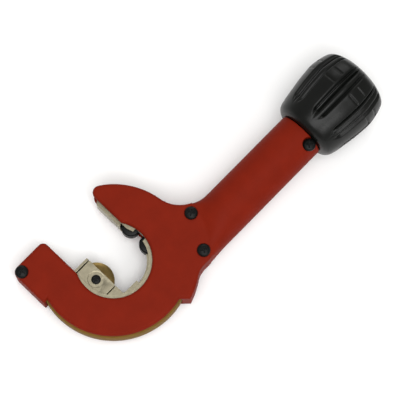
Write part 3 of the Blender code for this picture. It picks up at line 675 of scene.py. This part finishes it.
def housing_half(name, node, side):
    plate = rounded_prism(name + "_plate", head_outline(), side * GAP / 2, side * HALF_THICKNESS, EDGE_R)
    grip = handle_half(name + "_handle", side)
    spigot = bar(name + "_spigot", SPIGOT_R, HANDLE_END_X - 1, SPIGOT_END_X, "x", (0, HANDLE_Y, 0))
    other_side = sorted((side * GAP / 2, -side * 20))
    other = box(name + "_other", (0, -60, other_side[0]), (130, 20, other_side[1]))
    spigot = cut(name + "_half_spigot", spigot, other)
    shell = join(name + "_whole", plate, grip, spigot)
    room = HALF_THICKNESS - PLATE
    centre = (0, HANDLE_Y, 0)
    cutters = [
        bar("rotor_room", RIM_R + GAP, -room, room, steps=180),
        pawl_pocket(),
        bar("selector_bore", SELECTOR_BORE_R, PAWL_X, CAVITY_X[0] + 1, "x", centre),
        bar("handle_cavity", CAVITY_R, *CAVITY_X, "x", centre),
        bar("spindle_passage", PASSAGE_R, CAVITY_X[1] - 1, SPIGOT_END_X, "x", centre),
        bar("bushing_seat", BUSHING_SEAT_R, HANDLE_END_X + 0.2, SPIGOT_END_X + 1, "x", centre),
        bar("pin_hole", PIN_HOLE_R, -PIN_HOLE_Z, PIN_HOLE_Z, at=(PAWL_X, HANDLE_Y, 0)),
    ]
    for x, y in HEAD_SCREWS + [HANDLE_SCREW]:
        if side > 0:
            cutters.append(bar("seat", SCREW_SEAT_R, SCREW_SEAT_Z - GAP, 14, at=(x, y, 0)))
            cutters.append(bar("hole", SCREW_HOLE_R, -1, 14, at=(x, y, 0), steps=32))
        else:
            hole = bar("insert_hole", INSERT_HOLE_R, -INSERT_DEPTH, 1, at=(x, y, 0), steps=32)
            cutters.append(hole)
    shell = cut(name, shell, *cutters)
    round_edges(shell, 0.18, angle=50, segments=2)
    shell = finish(name, shell, node, smooth=40)
    weighted = shell.modifiers.new("flat faces stay flat", "WEIGHTED_NORMAL")
    weighted.keep_sharp = True
    weighted.weight = 80
    return shell


def pan_head_screw(name, node, place, head_r, head_h, shank_r, length):
    """Cross-recessed pan head on a plain shank, its head standing on a seat."""
    dome = [(head_r * math.sin(math.radians(turn)), head_h * (0.35 + 0.65 * math.cos(math.radians(turn))))
            for turn in range(0, 85, 12)]
    profile = dome + [(head_r, 0.30 * head_h), (head_r, 0.12 * head_h), (head_r - 0.15, 0.0), (shank_r, 0.0),
                      (shank_r, 0.6 - length), (0.7 * shank_r, -length), (0.0, -length)]
    screw = turned(name, profile, steps=64)
    reach = 0.58 * head_r
    width = 0.13 * head_r
    floor = 0.30 * head_h
    cross = join("cross", box("slot", (-reach, -width, floor), (reach, width, head_h + 1)),
                 box("slot_across", (-width, -reach, floor), (width, reach, head_h + 1)),
                 bar("socket", 0.26 * head_r, floor - 0.1, head_h + 1, steps=24))
    screw = cut(name + "_whole", screw, cross)
    screw.data.transform(shift(*place) @ Matrix.Rotation(math.radians(place[0] * 7), 4, "Z"))
    round_edges(screw, 0.06, angle=40, segments=2)
    return finish(name, screw, node)


def make_housing():
    housing_half("housing_front", "front_shell", 1)
    housing_half("housing_back", "back_shell", -1)
    for number, (x, y) in enumerate(HEAD_SCREWS + [HANDLE_SCREW], 1):
        node = f"housing_screw_{number}"
        pan_head_screw(f"cross_screw_{number}", node, (x, y, SCREW_SEAT_Z), 3.25, 1.9, 1.75, 14.2)


# ---------------------------------------------------------------- rotor

def make_rotor():
    low, high = RIM_LOW.z, RIM_HIGH.z
    profile = [(RIM_INNER_R, high), (RIM_R - 0.4, high), (RIM_R - 0.12, high - 0.12), (RIM_R, high - 0.4),
               (RIM_R, low + 0.3), (RIM_R - 0.3, low), (RIM_INNER_R, low)]
    rim = turned("rim", profile, steps=180, closed=True)
    keys = [bar("key_hole", 1.5, -10, 10, at=(*at_angle(RIM_INNER_R - GAP / 2, angle), 0), steps=24)
            for angle in (-150, -90, -30, 30)]
    rim = cut("rim_open", rim, prism("rim_mouth", [ROTOR_MOUTH], -10, 10), *keys)
    finish("rotor_band", round_edges(rim, 0.15), "rotor_rim")


def refined(node, width=0.12, angle=35, cutters=()):
    """A CAD node's shape with its flat faces merged, then cut in the tool's axes and its edges rounded."""
    mesh = frame["nodes"][node].data.copy()
    shape = bmesh.new()
    shape.from_mesh(mesh)
    bmesh.ops.remove_doubles(shape, verts=shape.verts, dist=2e-6)
    bmesh.ops.dissolve_limit(shape, angle_limit=math.radians(1.0), verts=shape.verts, edges=shape.edges)
    shape.to_mesh(mesh)
    shape.free()
    piece = link(node + "_copy", mesh)
    for cutter in cutters:
        cutter.data.transform(Matrix.Translation((ROTOR.x, ROTOR.y, 0.0)))
    if cutters:
        piece = cut(node + "_cut", piece, *cutters)
    if width:
        round_edges(piece, width, angle, 2)
    return finish(node + "_part", piece, node, world=True, smooth=angle)


def make_carriage():
    """The carriage, with a turned groove round the axle on its front face."""
    top = node_box("wheel_carriage")[1].z
    outer_r = AXLE_GROOVE_R + AXLE_GROOVE_WIDTH
    floor = top - AXLE_GROOVE_DEPTH
    profile = [(AXLE_GROOVE_R, top + 1), (outer_r, top + 1), (outer_r, floor), (AXLE_GROOVE_R, floor)]
    groove = turned("axle_groove", profile, at=(WHEEL_X, 0, 0), steps=64, closed=True)
    refined("wheel_carriage", 0.25, cutters=(groove,))


def make_springs():
    """Each spring's CAD shape, with unrounded edges, in a mesh of its own."""
    for label in ("upper", "lower"):
        spring = refined(label + "_carriage_spring", 0.0)
        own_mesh(spring)
    small = refined("plunger_spring", 0.0)
    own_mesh(small)


def make_wheel():
    wheel_r = WHEEL_HIGH.x - WHEEL_X
    half = WHEEL_HIGH.z
    upper = [(1.8, half - 0.15), (2.0, half), (WHEEL_HUB_R - 0.2, half), (WHEEL_HUB_R, half - 0.2),
             (WHEEL_HUB_R + 0.15, 0.95), (wheel_r - 1.3, 0.58), (wheel_r - 1.2, 0.52), (wheel_r, 0.04)]
    profile = upper + [(radius, -height) for radius, height in reversed(upper)]
    wheel = turned("disc", profile, at=(WHEEL_X, 0, 0), steps=144, closed=True)
    finish("cutter_wheel", wheel, "cutting_wheel")


def make_rollers():
    for label in ("upper", "lower"):
        centre = tool(JOINTS[label + "_roller_spin"]["pos_m"])
        low, high = node_box(label + "_roller")
        radius = high.x - centre.x
        half = high.z
        upper = [(1.3, half), (radius - 0.7, half), (radius - 0.5, half - 0.06), (radius - 0.06, half - 0.5),
                 (radius, half - 0.7), (radius, 0.45), (radius - 0.2, 0.25)]
        profile = upper + [(r, -z) for r, z in reversed(upper)]
        roller = turned("roller", profile, at=(centre.x, centre.y, 0), steps=96, closed=True)
        finish(label + "_pipe_roller", roller, label + "_roller")


# ---------------------------------------------------------------- knob

KNOB_PROFILE = [(13.5, 112.3), (15.2, 112.9), (17.2, 115.0), (18.6, 120.0), (19.5, 125.0), (20.3, 130.0),
                (20.8, 135.0), (21.1, 140.0), (20.4, 145.0), (19.0, 150.0), (16.8, 152.5), (13.2, 154.2)]
RIB_SETS = 8
RIB_PHASE = 41.0
RIB_HALF_ANGLE = 12.0
RIDGES = ((5.6, 2.6), (-2.9, 5.4))
RIB_DEPTH = 1.5
NOSE_X = 116.5
NOSE_RUN = 7.0
TAIL_X = 153.5
TAIL_RUN = 3.0
PANEL_HALF_ANGLE = 9.5
PANEL_LINES = (138.8, 144.3)
LINE_DEPTH = 0.55
LINE_HALF_WIDTH = 0.7
BARREL_MOST_R = 21.08


def barrel_rows():
    """(radius, x) down the barrel on a smooth curve through the profile's points."""
    rows = []
    points = [KNOB_PROFILE[0]] + KNOB_PROFILE + [KNOB_PROFILE[-1]]
    for before, start, end, after in zip(points, points[1:], points[2:], points[3:]):
        steps = max(2, round((end[1] - start[1]) / 0.45))
        for step in range(steps):
            t = step / steps
            spot = []
            for a, b, c, d in zip(before, start, end, after):
                spot.append(0.5 * (2 * b + (c - a) * t + (2 * a - 5 * b + 4 * c - d) * t * t
                                   + (3 * b - a - 3 * c + d) * t ** 3))
            rows.append((min(spot[0], BARREL_MOST_R), spot[1]))
    return rows + [KNOB_PROFILE[-1]]


def carving(x, turn):
    """How far the barrel's surface is sunk at a place along it and an angle round it."""
    pitch = 360 / RIB_SETS
    off_rib = (turn - RIB_PHASE + pitch / 2) % pitch - pitch / 2
    off_panel = pitch / 2 - abs(off_rib)
    nose = smooth_step((x - NOSE_X) / NOSE_RUN)
    tail = smooth_step((TAIL_X - x) / TAIL_RUN)
    half = RIB_HALF_ANGLE * (0.35 + 0.65 * nose)
    trough = smooth_step((half - abs(off_rib)) / 4.2) * nose * tail
    ridge = 0.0
    for middle, half_width in RIDGES:
        ridge = max(ridge, 1.0 - ((off_rib - middle * (0.5 + 0.5 * nose)) / half_width) ** 2)
    depth = RIB_DEPTH * trough * (1.0 - 0.85 * ridge)
    for line_x in PANEL_LINES:
        if off_panel < PANEL_HALF_ANGLE:
            depth += LINE_DEPTH * max(0.0, 1.0 - abs(x - line_x) / LINE_HALF_WIDTH)
    return depth


def make_knob():
    around = 360
    inner = [(9.3, 154.6), (9.3, 141.0), (8.3, 141.0), (8.3, 117.3), (9.9, 117.3), (9.9, 112.3)]
    barrel = barrel_rows()
    rows = [(radius, x, True) for radius, x in barrel] + [(radius, x, False) for radius, x in inner]
    mesh = bpy.data.meshes.new("grip")
    shape = bmesh.new()
    loops = []
    for radius, x, carved in rows:
        loop = []
        for step in range(around):
            turn = 360 * step / around
            reach = radius - (carving(x, turn) if carved else 0.0)
            y = HANDLE_Y + reach * math.sin(math.radians(turn))
            z = reach * math.cos(math.radians(turn))
            loop.append(shape.verts.new((x * MM, y * MM, z * MM)))
        loops.append(loop)
    for near, far in zip(loops, loops[1:] + loops[:1]):
        for step in range(around):
            after = (step + 1) % around
            shape.faces.new((near[step], near[after], far[after], far[step]))
    bmesh.ops.recalc_face_normals(shape, faces=shape.faces)
    shape.to_mesh(mesh)
    shape.free()
    finish("fluted_knob", link("grip", mesh), "knob_grip", smooth=50)
    top = CAP_HIGH.x
    profile = [(0.0, top), (3.0, top - 0.06), (5.0, top - 0.25), (7.0, top - 0.62), (8.3, top - 1.05),
               (8.8, top - 1.4), (9.0, top - 1.9), (9.0, 150.5), (0.0, 150.5)]
    cap = turned("cap", profile, "x", (0, HANDLE_Y, 0))
    finish("knob_cap", cap, "knob_end_cap")


# ---------------------------------------------------------------- stage

def make_floor():
    """Pale plane that the knob and the back of the head's far edge both touch."""
    knob_contact = Vector((140.0, 0.0, KNOB_LOW.z))
    head_contact = Vector((-LOWER_R, 0.0, -HALF_THICKNESS))
    slope = math.atan2(knob_contact.z - head_contact.z, knob_contact.x - head_contact.x)
    mesh = bpy.data.meshes.new("floor")
    shape = bmesh.new()
    bmesh.ops.create_grid(shape, x_segments=1, y_segments=1, size=3.0)
    shape.to_mesh(mesh)
    shape.free()
    floor = link("floor", mesh)
    floor.data.materials.append(pale_floor())
    floor.rotation_euler.y = -slope
    lift = (knob_contact + head_contact) / 2 * MM
    floor.location = (ROTOR.x + lift.x, ROTOR.y + lift.y, lift.z - 0.0002)


def area_light(name, place, size, power, aim=(0.0, 0.0, 0.0)):
    light = bpy.data.lights.new(name, "AREA")
    light.shape = "RECTANGLE"
    light.size, light.size_y = size
    light.energy = power
    obj = link(name, light)
    obj.location = place
    obj.rotation_euler = (Vector(aim) - Vector(place)).to_track_quat("-Z", "Y").to_euler()


def make_lights():
    studio = bpy.data.worlds.new("studio")
    bpy.context.scene.world = studio
    studio.use_nodes = True
    background = studio.node_tree.nodes["Background"]
    background.inputs["Color"].default_value = (1.0, 0.99, 0.97, 1.0)
    background.inputs["Strength"].default_value = 0.60
    area_light("key", (-0.24, -0.30, 1.25), (0.9, 0.9), 12.5)
    area_light("side", (-0.15, -0.93, 0.87), (0.35, 0.35), 3.0)
    area_light("fill", (0.9, 0.8, 0.7), (0.6, 0.6), 3.0)


def make_camera():
    camera = bpy.data.cameras.new("camera")
    camera.lens = CAMERA_LENS
    camera.sensor_width = 36.0
    camera.clip_end = 20.0
    camera.dof.use_dof = False
    obj = link("camera", camera)
    obj.location = CAMERA_PLACE
    back = Vector(CAMERA_BACK).normalized()
    right = Vector(CAMERA_UP).cross(back).normalized()
    up = back.cross(right)
    obj.rotation_euler = Matrix((right, up, back)).transposed().to_euler()
    bpy.context.scene.camera = obj


bpy.context.scene.view_settings.view_transform = "Standard"
make_camera()
make_floor()
make_lights()
make_housing()
make_rotor()
make_wheel()
make_rollers()
make_knob()
# Width of the rounding on the edges of each small piece
SMALL_EDGES = {
    "rotor_head": 0.2, "rotor_cover": 0.2, "wheel_axle_screw": 0.05, "ratchet_ring": 0.06,
    "rocker_pawl": 0.1, "pawl_pin": 0.1, "front_bushing": 0.15, "rear_bushing": 0.15,
    "thrust_washer": 0.08, "knob_hub": 0.2, "knob_cross_pin": 0.15, "knob_washer": 0.1,
    "knob_screw": 0.1, "selector_spindle": 0.12, "spindle_clip": 0.08, "selector_plunger": 0.08,
    "axle_nut": 0.06, "upper_roller_pin": 0.1, "lower_roller_pin": 0.1,
}
for number in range(1, 5):
    SMALL_EDGES[f"threaded_insert_{number}"] = 0.1
    SMALL_EDGES[f"rotor_key_{number}"] = 0.1
    SMALL_EDGES[f"cover_screw_{number}"] = 0.06
for node, width in SMALL_EDGES.items():
    refined(node, width)
make_carriage()
make_springs()

bpy.context.view_layer.update()
